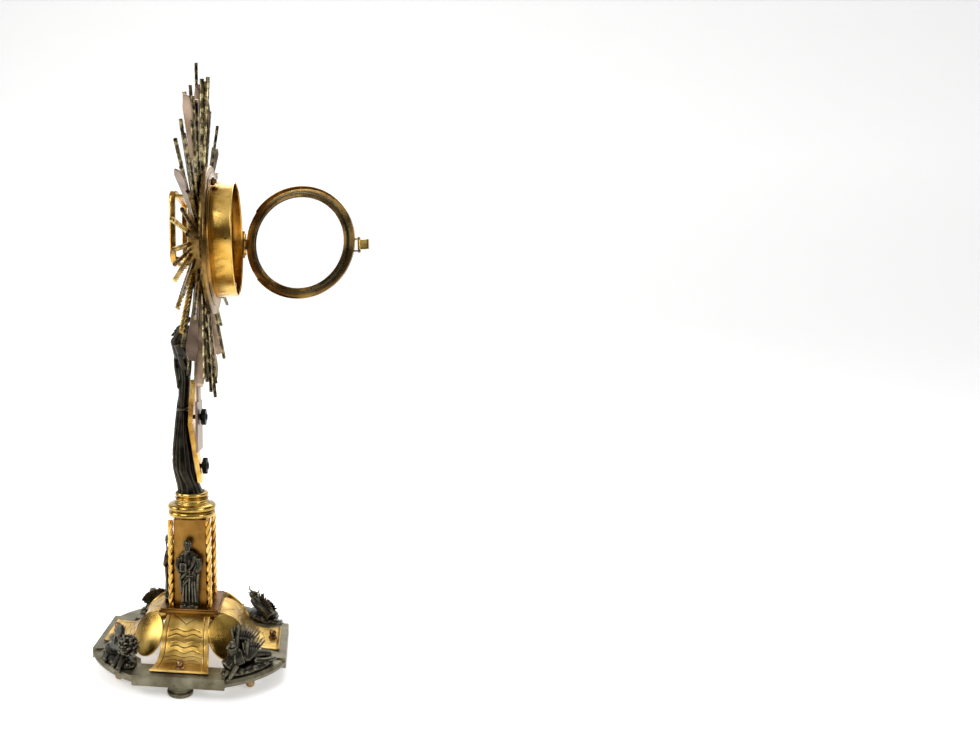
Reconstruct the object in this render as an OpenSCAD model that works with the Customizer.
// Monstrance: a sunburst display case carried by a statue on a column and a four-strap base.
// Millimetres. +Z is up, -Y is the front and +Y the back, where the case door is.
// The origin is on the ground under the column.

/* [Base] */
// Distance from the axis to the outer face of each base bar
base_half = 86; // [84:0.5:88]
// Length of each base bar
bar_len = 77; // [74:1:80]
// Width of each base bar
bar_w = 22; // [20:1:24]
// Thickness of each base bar
bar_t = 8.6; // [7:0.2:10]
// Height of the disc feet, which is the ground clearance of the bars
foot_h = 10; // [8:0.5:12]
// Diameter of the disc feet
foot_d = 22; // [18:0.5:24]
// Thickness of the curved corner plates
corner_t = 5.5; // [4:0.5:7]
// Thickness of the S-shaped straps
strap_t = 1.6; // [1.2:0.1:2]
// Diameter of the dished discs between the straps
disc_d = 38; // [36:1:42]

/* [Column] */
// Underside of the square collar plate above the ground
collar_z = 48.1; // [47:0.1:49]
// Half the side of the collar plate
collar_half = 27; // [26:0.5:28]
// Thickness of the collar plate
collar_t = 3.7; // [3:0.1:4.5]
// Half the side of the square column shell
shell_half = 15; // [14:0.5:15.5]
// Height of the column shell
shell_h = 77; // [74:1:80]
// Diameter of the four corner rods
rod_d = 5.4; // [4.8:0.2:5.6]

/* [Sunburst] */
// Height of the sunburst centre above the ground
burst_z = 386; // [384:1:388]
// Length from the centre to the longest ray tips
ray_reach = 169; // [160:1:172]
// Diameter of the round rays
ray_d = 3; // [2.4:0.2:3.2]
// Diameter of the flange disc behind the rays
flange_d = 138; // [136:1:140]
// Side of the square front frame
frame_side = 69; // [64:1:72]

/* [Case] */
// Outer diameter of the display case drum
case_d = 106.4; // [106:0.1:107]
// Depth of the drum behind the flange
case_depth = 21.6; // [20:0.2:22]
// Outer diameter of the door ring
door_d = 109.8; // [109.8:0.1:110.2]
// Diameter of the door window
door_window = 88.7; // [86:0.1:90]
// How far the door stands open, in degrees from closed
door_open = 74; // [0:1:110]
// Outer diameter of the host holder ring
lunette_d = 78; // [76:1:78]

/* [Hidden] */
$fn = 48;

BRASS = "goldenrod";
GILT = "gold";
PEWTER = "darkkhaki";
BRONZE = "darkslategray";
NICKEL = "tan";

over = 1;                                  // how far a cutter runs past a face
bar_top = foot_h + bar_t;
ring_out = norm([base_half, bar_len / 2]); // outer radius of the corner plates
ring_in = 64;
corner_z = foot_h + 1.5;
corner_top = corner_z + corner_t;
foot_r = base_half - bar_w / 2 - 2;        // axis of the feet and strap screws
corner_r = 80;                             // axis of the corner studs, along the diagonal
screw_hole_d = 3.4;
screw_d = 3;

strap_in = 17.5;                           // inner end of a strap under the collar
strap_bend = 25;                           // where a strap starts to curve down
strap_rv = 24;                             // radius of its convex bend, at the upper face
strap_rc = 19.5;                           // radius of its concave bend, at the upper face
strap_out = 79;                            // outer end of its foot
strap_w_in = 17;                           // half its width at its inner end
strap_w_bend = 19.6;                       // half its width where it starts to curve
strap_w_out = 24.7;                        // half its width at the foot
strap_seat = bar_top + strap_t;            // upper face of its foot
strap_cv = collar_z - strap_rv;            // height of the convex centre
strap_cc = strap_seat + strap_rc;          // height of the concave centre
strap_a = asin((strap_cc - strap_cv) / (strap_rv + strap_rc));
strap_xc = strap_bend + (strap_rv + strap_rc) * cos(strap_a);
strap_xj = strap_bend + strap_rv * cos(strap_a);
strap_zj = strap_cv + strap_rv * sin(strap_a);

under_t = 3;
under_half = 22;
under_z = collar_z - strap_t - under_t;
tab_t = 1.5;
disc_tilt = 28;
disc_r = 50.9;                             // disc centre from the axis, along the diagonal
disc_z = 33;
disc_t = 1.5;

shell_z = collar_z + collar_t;
shell_t = 1.5;
shell_top = shell_z + shell_h;
rod_at = shell_half + rod_d / 2 - 0.3;
relief_gap = 0.1;

cap_r = 22.2;
cap_h = 7.2;
upper_z = shell_top + cap_h;
upper_h = 6.4;
neck_r = 14.4;
neck_h = 4.6;
plinth_z = upper_z + upper_h + neck_h;
plinth_r = 15.6;
plinth_h = 4.8;
statue_z = plinth_z + plinth_h - 2;        // the statue stands in the ring's shallow dish
bolt_d = 6;

// Statue cross-sections: [x, y, height, half width, half depth]
STATUE = [
    [0, 0, 0, 12.6, 11.5], [0, -0.4, 4, 11.5, 9.8], [0, -0.8, 9, 11.5, 8.3],
    [0, -3.4, 15, 14, 9.6], [0, -6, 23, 16, 10.2], [0, -6.8, 42, 14.5, 8.6],
    [0, -7, 57, 12.5, 6.2], [0, -6.6, 68, 11, 4.9], [0, -6, 88, 10.5, 5],
    [0, -4.8, 108, 11, 5.4], [0, -6.4, 121, 14, 6.4], [0, -7, 132, 17, 6.4],
    [0, -7.4, 137, 9, 5], [0, -8.5, 140, 4.2, 4.2], [0, -9.6, 143, 4.2, 4.2]
];
HEAD_AT = [0, -11.2, 148];
SHOULDER = [15, -7, 131];
ELBOW = [27, -7, 143];
HAND = [27, 3, 163];

kink = [0.8, 215];                         // bracket bend, [y, z]
bracket_top = [4.2, 256];
bracket_end = [9.2, 162];
bracket_t = 4.2;
bracket_half = 8;
stem_y = 7;
stem_t = 2.2;
stem_half = 7;
stem_low = 190;
tail_half = 15;                            // the stem plate's wide lower end
tail_top = 236;
knob_r = 7.5;
knob_h = 4.6;
knob_upper_z = 221;
knob_lower_z = 175.6;
knob_shaft_d = 4;
knob_bore_d = 4.1;

flange_y = 21;
flange_t = 5;
flange_back = flange_y + flange_t;
collar_ring_out = 55;
collar_ring_in = 48.5;
collar_ring_y = 9.2;
ray_root = 51;
ray_step = 5;
ROWS = [11.2, 14.8, 18.4];                 // the three layers in which the rays lie
SPLAY = [0, 1.5, 4];                      // how far each layer fans towards the back, in degrees
BLADE_ANGLES = [15, 50, 80, 100, 130, 165, 230, 250, 290, 310];
ROPE_ANGLES = [0, 320, 330, 340, 350, 180, 190, 200, 210, 220];
BLADE_LENGTH = 142;
ROPE_LENGTH = 134;

frame_y = -10.7;
frame_t = 5.3;
frame_rim = 5;
frame_rise = 10;                           // how far the frame stands above the sunburst centre

glass_r = 45.2;
glass_t = 2.4;
window_r = 42;
case_r = case_d / 2;
case_wall = 1.8;
case_in = case_r - case_wall;
rim_y = flange_back + case_depth;          // back edge of the drum
door_y = rim_y + 0.4;                      // inner face of the closed door ring
step_h = 2;
nut_r = 57.4;
hinge_x = -57.5;
hinge_z = burst_z + 2;
knuckle_r = 2.4;
knuckle_half = 11;
knuckle_mid = 5.5;
pin_d = 2.4;
pin_bore_d = 2.5;
catch_z = burst_z - 6;
catch_y = rim_y - 4.8;
catch_len = 57.2;
latch_x = 58.3;
latch_y = door_y + 1.3;
latch_h = 9;
latch_plate_t = 1.4;
latch_reach = 9.5;
latch_pin_d = 1.6;
latch_bore_d = 1.7;
track_y = 27.8;
lunette_y = 28.4;
lunette_depth = 8;
lunette_r = lunette_d / 2;
tongue_w = 4;
tongue_low = burst_z - lunette_r - 6;
slot_w = 4.16;

// A plain flat ring standing on the XY plane.
module ring(r_out, r_in, h) {
    difference() {
        cylinder(r = r_out, h = h, $fn = 96);
        translate([0, 0, -over]) cylinder(r = r_in, h = h + 2 * over, $fn = 96);
    }
}

// Turns a shape that stands along +Z so that it lies along +Y, on the sunburst axis.
module on_burst(y) {
    translate([0, y, burst_z]) rotate([-90, 0, 0]) children();
}

// Four copies about the column, starting at the given angle.
module four(start = 0) {
    for (i = [0:3]) rotate([0, 0, start + 90 * i]) children();
}

// A closed skin over elliptical cross-sections [x, y, z, half width, half depth].
module loft(sections, n = 20) {
    last = len(sections) - 1;
    points = [
        for (s = sections) for (i = [0:n - 1])
            [s[0] + s[3] * cos(360 * i / n), s[1] + s[4] * sin(360 * i / n), s[2]]
    ];
    sides = [
        for (j = [0:last - 1]) for (i = [0:n - 1]) for (half = [0, 1])
            let (a = j * n + i, a1 = j * n + (i + 1) % n, b = a + n, b1 = a1 + n)
            half == 0 ? [a, b, b1] : [a, b1, a1]
    ];
    bottom = [for (i = [0:n - 1]) i];
    top = [for (i = [0:n - 1]) (last + 1) * n - 1 - i];
    polyhedron(points = points, faces = concat([bottom, top], sides));
}

// A round limb between two points, with a ball at each end.
module limb(from, to, r_from, r_to) {
    hull() {
        translate(from) sphere(r = r_from, $fn = 16);
        translate(to) sphere(r = r_to, $fn = 16);
    }
}

// ---- Base ----

module base_bar(angle) {
    color(PEWTER) rotate([0, 0, angle]) difference() {
        translate([base_half - bar_w, -bar_len / 2, foot_h]) cube([bar_w, bar_len, bar_t]);
        translate([foot_r, 0, foot_h - over]) cylinder(d = screw_hole_d, h = bar_t + 2 * over);
    }
}

module corner_plates() {
    edge = 2;
    color(PEWTER) four() difference() {
        intersection() {
            translate([0, 0, corner_z]) rotate_extrude($fn = 96) polygon([
                [ring_in, 0], [ring_out - edge, 0], [ring_out, edge],
                [ring_out, corner_t - edge], [ring_out - edge, corner_t], [ring_in, corner_t]
            ]);
            translate([bar_len / 2, bar_len / 2, 0]) cube([ring_out, ring_out, 2 * bar_top]);
        }
        rotate([0, 0, 45]) translate([corner_r, 0, 0]) cylinder(d = screw_hole_d, h = 2 * bar_top);
    }
}

module disc_feet() {
    r = foot_d / 2;
    groove = 1.8;
    bead = foot_h / 3;
    color(PEWTER) four() translate([foot_r, 0, 0]) difference() {
        rotate_extrude() polygon([
            [0, 0], [r - 1, 0], [r, 1], [r, bead], [r - groove, bead + 1],
            [r - groove, 2 * bead - 0.4], [r, 2 * bead], [r, foot_h - 0.5], [r - 0.5, foot_h],
            [0, foot_h]
        ]);
        translate([0, 0, foot_h - 6]) cylinder(d = screw_hole_d, h = 6 + over);
    }
}

module acorn_nuts() {
    r = 4;
    low = 0.8;
    color(BRASS) four(45) translate([corner_r, 0, 0]) difference() {
        union() {
            translate([0, 0, low + r]) sphere(r = r);
            translate([0, 0, low + r]) cylinder(r = r, h = corner_z - low - r);
        }
        translate([0, 0, 5]) cylinder(d = screw_hole_d, h = corner_z);
    }
}

// The stud that holds a corner figure down through its plate and into its nut.
module corner_stud() {
    translate([corner_r, 0, 6]) cylinder(d = screw_d, h = corner_top - 6 + 2);
}

// One wing, a flat blade that stands up behind the figure.
module wing(height, sweep) {
    translate([corner_r + 1, 0, corner_top + 8]) rotate([90, 0, 0])
        linear_extrude(height = 3, center = true)
            polygon([[-4, 0], [6, 0], [4, height * 0.6], [-sweep, height], [-6, height * 0.55]]);
}

module symbol_lion() {
    color(BRONZE) rotate([0, 0, -45]) {
        corner_stud();
        translate([corner_r, 0, corner_top]) loft([
            [0, -2, 0, 11, 17], [0, -2, 8, 10, 17], [-1, 0, 15, 8, 13], [-2, 3, 20, 6, 8]
        ]);
        translate([corner_r - 2, 7, corner_top + 17]) sphere(r = 8.4, $fn = 24);
        translate([0, -6, 0]) wing(20, 8);
    }
}

module symbol_ox() {
    color(BRONZE) rotate([0, 0, 135]) {
        corner_stud();
        translate([corner_r, 0, corner_top]) loft([
            [0, 0, 0, 11, 18], [0, 0, 9, 10, 17], [-1, 2, 15, 7, 12], [-1, 6, 19, 5, 6]
        ]);
        translate([corner_r - 1, 12, corner_top + 16]) sphere(r = 6.4, $fn = 24);
        translate([0, -4, 0]) wing(19, 7);
    }
}

module symbol_eagle() {
    color(BRONZE) rotate([0, 0, 45]) {
        corner_stud();
        translate([corner_r, 0, corner_top]) loft([
            [0, 2, 0, 11, 21], [0, 2, 6, 10, 20], [-2, 0, 13, 7, 13], [-3, -1, 22, 5, 6],
            [-5, -1, 29, 2, 2]
        ]);
        translate([0, 10, 0]) wing(15, 6);
    }
}

module symbol_angel() {
    color(BRONZE) rotate([0, 0, 225]) {
        corner_stud();
        translate([corner_r, 0, corner_top]) loft([
            [0, 0, 0, 10, 16], [0, 0, 6, 9, 14], [-1, 0, 12, 6, 9], [-2, 0, 19, 5, 7], [-2, 0, 22, 2, 3]
        ]);
        translate([corner_r - 2, 0, corner_top + 25]) sphere(r = 4.4, $fn = 24);
        for (side = [-1, 1]) translate([-2, 9 * side, 0]) wing(18, 6);
    }
}

// Strap outline in its own plane: flat under the collar, down an S, and flat on the bar.
module strap_profile() {
    translate([strap_in, collar_z - strap_t]) square([strap_bend - strap_in, strap_t]);
    intersection() {
        difference() {
            translate([strap_bend, strap_cv]) circle(r = strap_rv, $fn = 96);
            translate([strap_bend, strap_cv]) circle(r = strap_rv - strap_t, $fn = 96);
        }
        polygon([
            [strap_bend, strap_cv], [strap_bend, collar_z + over], [strap_out, collar_z + over],
            [strap_bend + 2 * (strap_xj - strap_bend), strap_cv + 2 * (strap_zj - strap_cv)]
        ]);
    }
    intersection() {
        difference() {
            translate([strap_xc, strap_cc]) circle(r = strap_rc + strap_t, $fn = 96);
            translate([strap_xc, strap_cc]) circle(r = strap_rc, $fn = 96);
        }
        polygon([
            [strap_xc, strap_cc], [strap_xc, 0],
            [strap_xc - 60 * cos(strap_a), strap_cc - 60 * sin(strap_a)]
        ]);
    }
    translate([strap_xc, bar_top]) square([strap_out - strap_xc, strap_t]);
}

module strap(angle) {
    color(GILT) rotate([0, 0, angle]) difference() {
        intersection() {
            translate([0, 30, 0]) rotate([90, 0, 0]) linear_extrude(height = 60) strap_profile();
            linear_extrude(height = collar_z + over) polygon([
                [strap_in, -strap_w_in], [strap_bend, -strap_w_bend], [strap_out, -strap_w_out],
                [strap_out, strap_w_out], [strap_bend, strap_w_bend], [strap_in, strap_w_in]
            ]);
        }
        translate([foot_r, 0, bar_top - over]) cylinder(d = screw_hole_d, h = strap_t + 2 * over);
    }
}

module strap_screws() {
    collar_screw_h = 1.6;
    color(BRASS) four() translate([foot_r, 0, 0]) union() {
        translate([0, 0, foot_h - 5]) cylinder(d = screw_d, h = strap_seat - foot_h + 6);
        translate([0, 0, strap_seat]) cylinder(r = 4, h = collar_screw_h);
        translate([0, 0, strap_seat + collar_screw_h + 2.6]) sphere(r = 3.2);
    }
}

module corner_discs() {
    tab_in = 23;
    tab_len = 22.2;
    tab_w = 6;
    color(GILT) four(45) {
        translate([disc_r, 0, disc_z]) rotate([0, 90 - disc_tilt, 0]) intersection() {
            cylinder(d = disc_d, h = 6, center = true);
            translate([0, 0, -90]) difference() {
                sphere(r = 90 + disc_t / 2, $fn = 96);
                sphere(r = 90 - disc_t / 2, $fn = 96);
            }
        }
        translate([tab_in, -tab_w / 2, under_z - tab_t]) cube([tab_len, tab_w, tab_t]);
    }
}

// ---- Column ----

module under_plate() {
    color(BRASS) difference() {
        translate([-under_half, -under_half, under_z]) cube([2 * under_half, 2 * under_half, under_t]);
        translate([0, 0, under_z - over]) cylinder(d = bolt_d + 0.4, h = under_t + 2 * over);
    }
}

module collar_plate() {
    lip = 1.2;
    color(BRASS) difference() {
        union() {
            translate([-collar_half, -collar_half, collar_z])
                cube([2 * collar_half, 2 * collar_half, collar_t - lip]);
            translate([lip - collar_half, lip - collar_half, collar_z + collar_t - lip])
                cube([2 * (collar_half - lip), 2 * (collar_half - lip), lip]);
        }
        translate([0, 0, collar_z - over]) cylinder(d = bolt_d + 0.4, h = collar_t + 2 * over);
    }
}

module column_shell() {
    inner = shell_half - shell_t;
    color(BRASS) translate([0, 0, shell_z]) difference() {
        translate([-shell_half, -shell_half, 0]) cube([2 * shell_half, 2 * shell_half, shell_h]);
        translate([-inner, -inner, -over]) cube([2 * inner, 2 * inner, shell_h + 2 * over]);
    }
}

module rope_rods() {
    color(GILT) for (x = [-1, 1]) for (y = [-1, 1])
        translate([x * rod_at, y * rod_at, shell_z]) cylinder(d = rod_d, h = shell_h);
}

// A robed figure standing against one face of the column.
module relief(angle, lean) {
    depth = 5;
    x = shell_half + relief_gap + depth;
    color(BRONZE) rotate([0, 0, angle]) translate([x, 0, shell_z]) {
        translate([-depth, -8, 0]) cube([2 * depth, 16, 3]);
        loft([
            [0, 0, 3, 4, 8], [0, 0, 20, 4, 8], [0, lean, 32, 4.8, 9.6], [0, 0, 42, 4.8, 10.4],
            [0, 0, 49, 4, 7], [0, 0, 52, 2.2, 2.6], [0, 0, 54, 2.2, 2.6]
        ]);
        translate([0, lean, 56.4]) sphere(r = 4.6, $fn = 24);
    }
}

module cap_lower() {
    color(BRASS) translate([0, 0, shell_top]) rotate_extrude($fn = 96) polygon([
        [bolt_d / 2 + 0.2, 0], [cap_r - 3, 0], [cap_r - 0.6, 1.4], [cap_r, 3.4], [cap_r - 0.4, 5.6],
        [cap_r - 1.6, cap_h], [bolt_d / 2 + 0.2, cap_h]
    ]);
}

module cap_upper() {
    r = cap_r + 0.4;
    color(BRASS) translate([0, 0, upper_z]) rotate_extrude($fn = 96) polygon([
        [bolt_d / 2 + 0.2, 0], [r - 1.6, 0], [r, 1.8], [r, 3.8], [r - 1.4, upper_h],
        [neck_r + 1.4, upper_h], [neck_r, upper_h + 1.4], [neck_r, upper_h + neck_h],
        [bolt_d / 2 + 0.2, upper_h + neck_h]
    ]);
}

module plinth_ring() {
    dish = plinth_r - 2.6;
    color(BRASS) translate([0, 0, plinth_z]) rotate_extrude($fn = 96) polygon([
        [bolt_d / 2 + 0.2, 0], [plinth_r - 1.2, 0], [plinth_r - 1.2, 1.4], [plinth_r, 2.4],
        [plinth_r, plinth_h - 1], [plinth_r - 1, plinth_h], [dish, plinth_h],
        [dish, plinth_h - 2], [bolt_d / 2 + 0.2, plinth_h - 2]
    ]);
}

module tie_bolt() {
    head = 4;
    color(PEWTER) union() {
        translate([0, 0, under_z - head]) cylinder(r = 5.5, h = head, $fn = 6);
        translate([0, 0, under_z]) cylinder(d = bolt_d, h = statue_z - under_z - 0.2);
    }
}

// ---- Statue and its bracket ----

module statue() {
    color(BRONZE) translate([0, 0, statue_z]) {
        loft(STATUE, 24);
        translate(HEAD_AT) sphere(r = 8.2, $fn = 32);
        for (side = [-1, 1]) {
            limb([side * SHOULDER[0], SHOULDER[1], SHOULDER[2]], [side * ELBOW[0], ELBOW[1], ELBOW[2]], 5, 4);
            limb([side * ELBOW[0], ELBOW[1], ELBOW[2]], [side * HAND[0], HAND[1], HAND[2]], 4, 3.4);
        }
    }
}

// The bracket's outline in the YZ plane: two runs of even thickness that meet at the bend.
module bracket_outline() {
    up = (bracket_top - kink) / norm(bracket_top - kink);
    down = (bracket_end - kink) / norm(bracket_end - kink);
    n_up = [-up[1], up[0]] * bracket_t / 2;
    n_down = [down[1], -down[0]] * bracket_t / 2;
    mitre = (n_up + n_down) / (1 + n_up * n_down / pow(bracket_t / 2, 2));
    polygon([
        bracket_top + n_up, kink + mitre, bracket_end + n_down, bracket_end + 1.2 * down + 0.5 * n_down,
        bracket_end + 1.2 * down - 0.5 * n_down, bracket_end - n_down, kink - mitre, bracket_top - n_up
    ]);
}

module bracket() {
    color(GILT) difference() {
        rotate([90, 0, 90]) linear_extrude(height = 2 * bracket_half, center = true) bracket_outline();
        for (z = [knob_upper_z, knob_lower_z])
            translate([0, -20, z]) rotate([-90, 0, 0]) cylinder(d = knob_bore_d, h = 60);
    }
}

module stem_plate() {
    top = burst_z - collar_ring_out + 4;
    color(NICKEL) difference() {
        union() {
            translate([-stem_half, stem_y, stem_low]) cube([2 * stem_half, stem_t, top - stem_low]);
            translate([-tail_half, stem_y, stem_low]) cube([2 * tail_half, stem_t, tail_top - stem_low]);
        }
        translate([0, 0, knob_upper_z]) rotate([-90, 0, 0]) cylinder(d = knob_bore_d, h = 60);
    }
}

// A thumb screw along +Y: shaft, thin shoulder and knurled head.
module thumb_screw(z, tip, seat) {
    shoulder = 1.1;
    color(BRONZE) translate([0, 0, z]) rotate([-90, 0, 0]) union() {
        translate([0, 0, tip]) cylinder(d = knob_shaft_d, h = seat - tip);
        translate([0, 0, seat]) cylinder(r = 3.4, h = shoulder);
        translate([0, 0, seat + shoulder]) cylinder(r = knob_r, h = knob_h);
        translate([0, 0, seat + shoulder + knob_h]) cylinder(r = 2.4, h = 1.2);
    }
}

module thumb_screw_upper() {
    thumb_screw(knob_upper_z, -0.6, stem_y + stem_t + 0.3);
}

module thumb_screw_lower() {
    thumb_screw(knob_lower_z, 6, 10.1);
}

// ---- Sunburst ----

module flange_disc() {
    seat = 2;
    color(BRASS) on_burst(flange_y) difference() {
        cylinder(d = flange_d, h = flange_t, $fn = 96);
        translate([0, 0, -over]) cylinder(r = window_r, h = flange_t + 2 * over, $fn = 96);
        translate([0, 0, seat]) cylinder(r = glass_r + 0.1, h = flange_t, $fn = 96);
        for (a = [60, 240]) rotate([0, 0, -a]) translate([nut_r, 0, -over])
            cylinder(d = 2.6, h = flange_t + 2 * over);
    }
}

module ray_collar() {
    color(BRASS) on_burst(collar_ring_y)
        ring(collar_ring_out, collar_ring_in, flange_y - collar_ring_y);
}

// True where an angle is in a list, counting round the circle.
function taken(a, list) = len([for (b = list) if (abs(((a - b + 540) % 360) - 180) < 2) b]) > 0;

// Tip radius of a round ray: four lengths in turn, longest at the top and shorter at the sides.
function ray_tip(i) = let (a = ray_step * i) ray_reach * [1, 0.95, 0.97, 0.92][(i + 2) % 4]
    * (0.87 + 0.13 * exp(-pow((a - 90) / 10, 2))) * (1 - (sin(a) > 0 ? 0.13 : 0.04) * pow(cos(a), 2));

// Layer of a ray: the back ones pass behind the stem plate.
function ray_row(i) = abs(ray_step * i - 270) < 9 ? 2 : i % 3;

// Puts a shape that runs along +X on the sunburst at an angle, fanned with its layer.
module ray_place(a, layer) {
    edge = flange_d / 2;
    translate([0, ROWS[layer], burst_z]) rotate([0, -a, 0]) translate([edge, 0, 0])
        rotate([0, 0, SPLAY[layer]]) translate([-edge, 0, 0]) children();
}

module round_rays(from, to) {
    color(PEWTER) for (i = [from:to]) {
        a = ray_step * i % 360;
        if (!taken(a, BLADE_ANGLES) && !taken(a, ROPE_ANGLES))
            ray_place(a, ray_row(i)) translate([ray_root, 0, 0]) rotate([0, 90, 0])
                cylinder(d = ray_d, h = ray_tip(i) - ray_root);
    }
}

module rays_right() { round_rays(63, 80); }
module rays_top() { round_rays(9, 26); }
module rays_left() { round_rays(27, 44); }
module rays_bottom() { round_rays(45, 62); }

module ray_blades() {
    blade_t = 1.4;
    twist = 60;
    color(NICKEL) for (a = BLADE_ANGLES) ray_place(a, 1) rotate([twist, 0, 0])
        linear_extrude(height = blade_t, center = true) polygon([
            [ray_root, -1.6], [100, -3.2], [BLADE_LENGTH - 14, -5], [BLADE_LENGTH, -2.5],
            [BLADE_LENGTH, 2.5], [BLADE_LENGTH - 14, 5], [100, 3.2], [ray_root, 1.6]
        ]);
}

module ray_ropes() {
    color(BRASS) for (a = ROPE_ANGLES) ray_place(a, 0)
        translate([ray_root, 0, 0]) rotate([0, 90, 0]) cylinder(d = 4.2, h = ROPE_LENGTH - ray_root);
}

// A square with bowed sides: a large circle on each side trims it.
module cushion(side) {
    bow = 2.6 * side;
    half = side / 2;
    intersection() {
        translate([-half, -half]) square(side);
        translate([bow - half, 0]) circle(r = bow, $fn = 96);
        translate([half - bow, 0]) circle(r = bow, $fn = 96);
        translate([0, bow - half]) circle(r = bow, $fn = 96);
        translate([0, half - bow]) circle(r = bow, $fn = 96);
        circle(r = side * 0.66, $fn = 96);
    }
}

module front_frame() {
    color(GILT) translate([0, 0, frame_rise]) on_burst(frame_y) difference() {
        linear_extrude(height = frame_t) cushion(frame_side);
        translate([0, 0, -over]) linear_extrude(height = frame_t + 2 * over)
            cushion(frame_side - 2 * frame_rim);
    }
}

// Four slanted struts from the frame's corners to the flange.
module frame_posts() {
    strut_r = 1.6;
    seat_r = 44.6;
    at = frame_side / 2 - 6;
    back = frame_y + frame_t;
    depth = flange_y - back;
    color(BRASS) for (x = [-at, at]) for (z = [frame_rise - at, frame_rise + at]) {
        run = [x, z] * (seat_r / norm([x, z]) - 1);
        way = [run[0], depth, run[1]];
        intersection() {
            translate([x, back, burst_z + z]) rotate([0, acos(way[2] / norm(way)), atan2(way[1], way[0])])
                cylinder(r = strut_r, h = 2 * (norm(way) + 2 * strut_r), center = true);
            translate([-flange_d / 2, back, burst_z - flange_d / 2]) cube([flange_d, depth, flange_d]);
        }
    }
}

module front_glass() {
    color("lightblue", 0.4) on_burst(flange_y + 2.2) cylinder(r = glass_r, h = glass_t, $fn = 96);
}

module glass_bead() {
    color(BRASS) on_burst(flange_back) ring(case_in - 0.2, window_r + 1.4, 1.4);
}

// ---- Case and door ----

module step_ring() {
    color(BRASS) on_burst(flange_back) difference() {
        union() {
            ring(61.5, case_r + 0.1, step_h / 2);
            ring(59.5, case_r + 0.1, step_h);
        }
        for (a = [60, 240]) rotate([0, 0, -a]) translate([nut_r, 0, -over])
            cylinder(d = 2.6, h = step_h + 2 * over);
    }
}

module case_drum() {
    leaf_t = 4;
    color(GILT) difference() {
        union() {
            on_burst(flange_back) ring(case_r, case_in, case_depth);
            for (side = [-1, 1]) translate([0, 0, hinge_z + side * (knuckle_mid + knuckle_half) / 2]) {
                translate([hinge_x, door_y, 0])
                    cylinder(r = knuckle_r, h = knuckle_half - knuckle_mid, center = true);
                translate([hinge_x - knuckle_r + 0.6, rim_y - leaf_t, (knuckle_mid - knuckle_half) / 2])
                    cube([case_in * 0.1 + 1.6, leaf_t, knuckle_half - knuckle_mid]);
            }
        }
        translate([hinge_x, door_y, hinge_z - 2 * knuckle_half]) cylinder(d = pin_bore_d, h = 4 * knuckle_half);
        on_burst(0) cylinder(r = case_in, h = 2 * rim_y, $fn = 96);
        translate([40, catch_y, catch_z]) rotate([0, 90, 0]) cylinder(d = pin_bore_d, h = 30);
    }
}

module case_nuts() {
    color(BRASS) for (a = [60, 240]) on_burst(flange_back) rotate([0, 0, -a]) translate([nut_r, 0, 0]) union() {
        translate([0, 0, step_h]) cylinder(r = 3.4, h = 2.6);
        translate([0, 0, step_h + 2.6]) cylinder(r = 2.2, h = 1.6);
        translate([0, 0, -flange_t + 0.2]) cylinder(d = 2.4, h = flange_t + step_h);
    }
}

module hinge_pin() {
    head = 1.4;
    color(BRASS) translate([hinge_x, door_y, hinge_z]) union() {
        cylinder(d = pin_d, h = 2 * knuckle_half + 0.4, center = true);
        for (side = [-1, 1]) translate([0, 0, side * (knuckle_half + head + 0.1)])
            sphere(r = head);
    }
}

module catch_pin() {
    inside = 50.4;
    color(BRASS) translate([inside, catch_y, catch_z]) rotate([0, 90, 0])
        cylinder(d = pin_d, h = catch_len - inside);
}

// Carries a shape from the closed door to where the door stands.
module door_pose() {
    translate([hinge_x, door_y, 0]) rotate([0, 0, door_open]) translate([-hinge_x, -door_y, 0])
        children();
}

module door_ring() {
    plate = 2.2;
    skirt = 3.2;
    skirt_in = case_r + 0.6;
    lip_in = door_window / 2 + 3.1;
    lug_x = 52;
    lug_z = latch_h / 2 + 0.4;
    lug_t = 1.4;
    color(BRASS) door_pose() difference() {
        union() {
            difference() {
                on_burst(door_y - skirt) rotate_extrude($fn = 96) polygon([
                    [door_window / 2, skirt], [lip_in, skirt], [lip_in, 0], [lip_in + 1.2, 0],
                    [lip_in + 1.2, skirt], [skirt_in, skirt], [skirt_in, 0], [door_d / 2, 0],
                    [door_d / 2, skirt + plate - 0.7], [door_d / 2 - 0.7, skirt + plate],
                    [door_window / 2 + 0.7, skirt + plate], [door_window / 2, skirt + plate - 0.7]
                ]);
                // the skirt is cut away beside the hinge so that it can swing past the drum
                translate([-door_d, door_y - 2 * skirt, burst_z - door_d * 0.29])
                    cube([door_d / 2 + 13, 2 * skirt, door_d * 0.58]);
            }
            translate([hinge_x, door_y, hinge_z])
                cylinder(r = knuckle_r, h = 2 * knuckle_mid - 0.6, center = true);
            translate([hinge_x, door_y, hinge_z - knuckle_mid + 0.3]) cube([4.6, plate, 2 * knuckle_mid - 0.6]);
            for (z = [lug_z, -lug_z - lug_t]) translate([lug_x, door_y, catch_z + z])
                cube([latch_x + 1.4 - lug_x, 2 * (latch_y - door_y), lug_t]);
        }
        translate([hinge_x, door_y, hinge_z - 2 * knuckle_half]) cylinder(d = pin_bore_d, h = 4 * knuckle_half);
        translate([latch_x, latch_y, catch_z - 12]) cylinder(d = latch_bore_d, h = 24);
    }
}

module door_glass() {
    color("lightblue", 0.4) door_pose() on_burst(door_y - 2.1)
        cylinder(r = door_window / 2 + 3, h = 2, $fn = 96);
}

module door_bead() {
    color(BRASS) door_pose() on_burst(door_y - 3.2) ring(door_window / 2 + 3, door_window / 2 + 0.6, 1);
}

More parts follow.
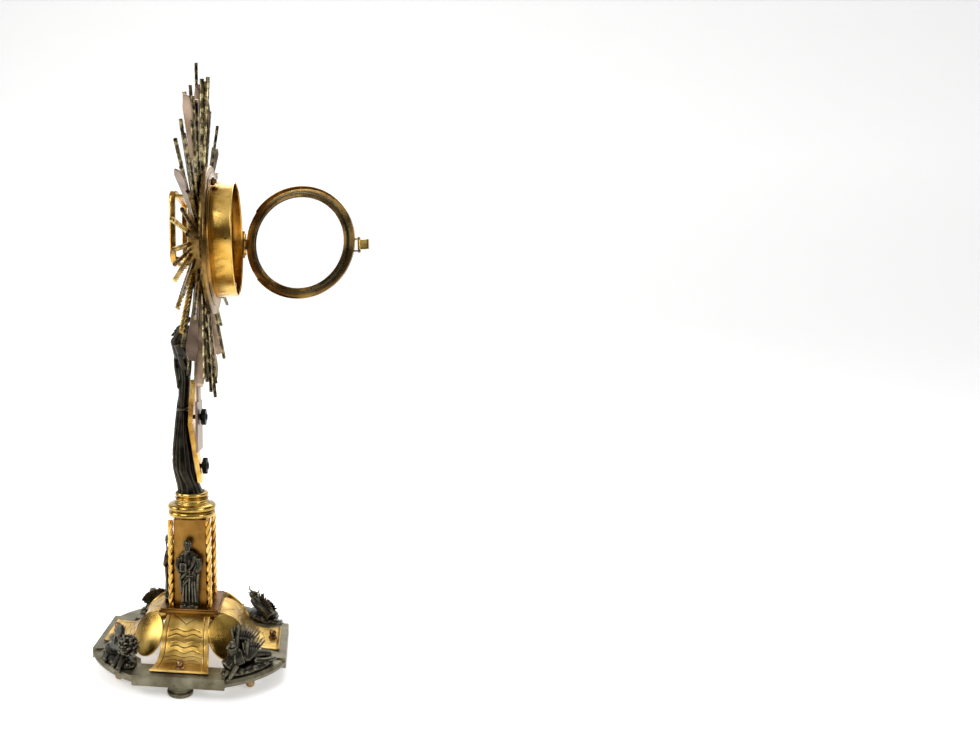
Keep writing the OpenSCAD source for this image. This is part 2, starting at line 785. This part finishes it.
// The latch lever: barrel on its pin, flat arm and inward hook, shown swung clear of the catch.
module latch_lever() {
    barrel_r = 1.4;
    hook = 2.8;
    color(BRASS) door_pose() translate([latch_x, latch_y, catch_z]) difference() {
        union() {
            cylinder(r = barrel_r, h = latch_h, center = true);
            translate([0, -latch_plate_t / 2, -latch_h / 2]) cube([latch_reach, latch_plate_t, latch_h]);
            translate([latch_reach - latch_plate_t, -latch_plate_t / 2 - hook, -latch_h / 2])
                cube([latch_plate_t, hook + latch_plate_t, latch_h]);
        }
        cylinder(d = latch_bore_d, h = 2 * latch_h, center = true);
    }
}

module latch_pin() {
    color(PEWTER) door_pose() translate([latch_x, latch_y, catch_z]) union() {
        cylinder(d = latch_pin_d, h = latch_h + 4.4, center = true);
        for (side = [-1, 1]) translate([0, 0, side * (latch_h / 2 + 2.4)]) cylinder(r = 1.3, h = 0.8, center = true);
    }
}

// ---- Host holder inside the case ----

module lunette_track() {
    half = 7;
    length = 17;
    floor_z = burst_z - 50.6;
    color(GILT) difference() {
        translate([-half, track_y, floor_z]) cube([2 * half, length, 10.4]);
        translate([-slot_w / 2, lunette_y - 0.3, tongue_low - 0.1]) cube([slot_w, 2 * length, 20]);
    }
}

module lunette_ring() {
    wall = 2.6;
    groove = 1;
    color(GILT) union() {
        difference() {
            on_burst(lunette_y) ring(lunette_r, lunette_r - wall, lunette_depth);
            for (y = [0.8, 5.4]) on_burst(lunette_y + y) cylinder(r = lunette_r - wall + groove, h = 1.8, $fn = 96);
        }
        translate([-tongue_w / 2, lunette_y, tongue_low])
            cube([tongue_w, lunette_depth, burst_z - lunette_r - tongue_low + 0.8]);
    }
}

module lunette_glasses() {
    color("lightblue", 0.4) for (y = [0.9, 5.5]) on_burst(lunette_y + y)
        cylinder(r = lunette_r - 1.7, h = 1.6, $fn = 96);
}

// A crescent that holds the host upright between the two glasses.
module crescent_clip() {
    r = 33;
    color(GILT) on_burst(lunette_y + 2.9) linear_extrude(height = 2.2) difference() {
        circle(r = lunette_r - 2.7, $fn = 96);
        circle(r = r, $fn = 96);
        translate([-r * 2, -r * 2 - 14]) square([r * 4, r * 2 + 20]);
    }
}

module base_bar_front() { base_bar(-90); }
module base_bar_back() { base_bar(90); }
module base_bar_left() { base_bar(180); }
module base_bar_right() { base_bar(0); }
module strap_front() { strap(-90); }
module strap_back() { strap(90); }
module strap_left() { strap(180); }
module strap_right() { strap(0); }
module relief_front() { relief(-90, 0.8); }
module relief_left() { relief(180, 0.6); }
module relief_right() { relief(0, -1); }

base_bar_front();
base_bar_back();
base_bar_left();
base_bar_right();
corner_plates();
disc_feet();
acorn_nuts();
symbol_lion();
symbol_ox();
symbol_eagle();
symbol_angel();
strap_front();
strap_back();
strap_left();
strap_right();
strap_screws();
corner_discs();
under_plate();
collar_plate();
column_shell();
rope_rods();
relief_front();
relief_left();
relief_right();
cap_lower();
cap_upper();
plinth_ring();
tie_bolt();
statue();
bracket();
stem_plate();
thumb_screw_upper();
thumb_screw_lower();
flange_disc();
ray_collar();
rays_top();
rays_right();
rays_bottom();
rays_left();
ray_blades();
ray_ropes();
front_frame();
frame_posts();
front_glass();
glass_bead();
step_ring();
case_drum();
case_nuts();
hinge_pin();
catch_pin();
lunette_track();
lunette_ring();
lunette_glasses();
crescent_clip();
door_ring();
door_glass();
door_bead();
latch_lever();
latch_pin();
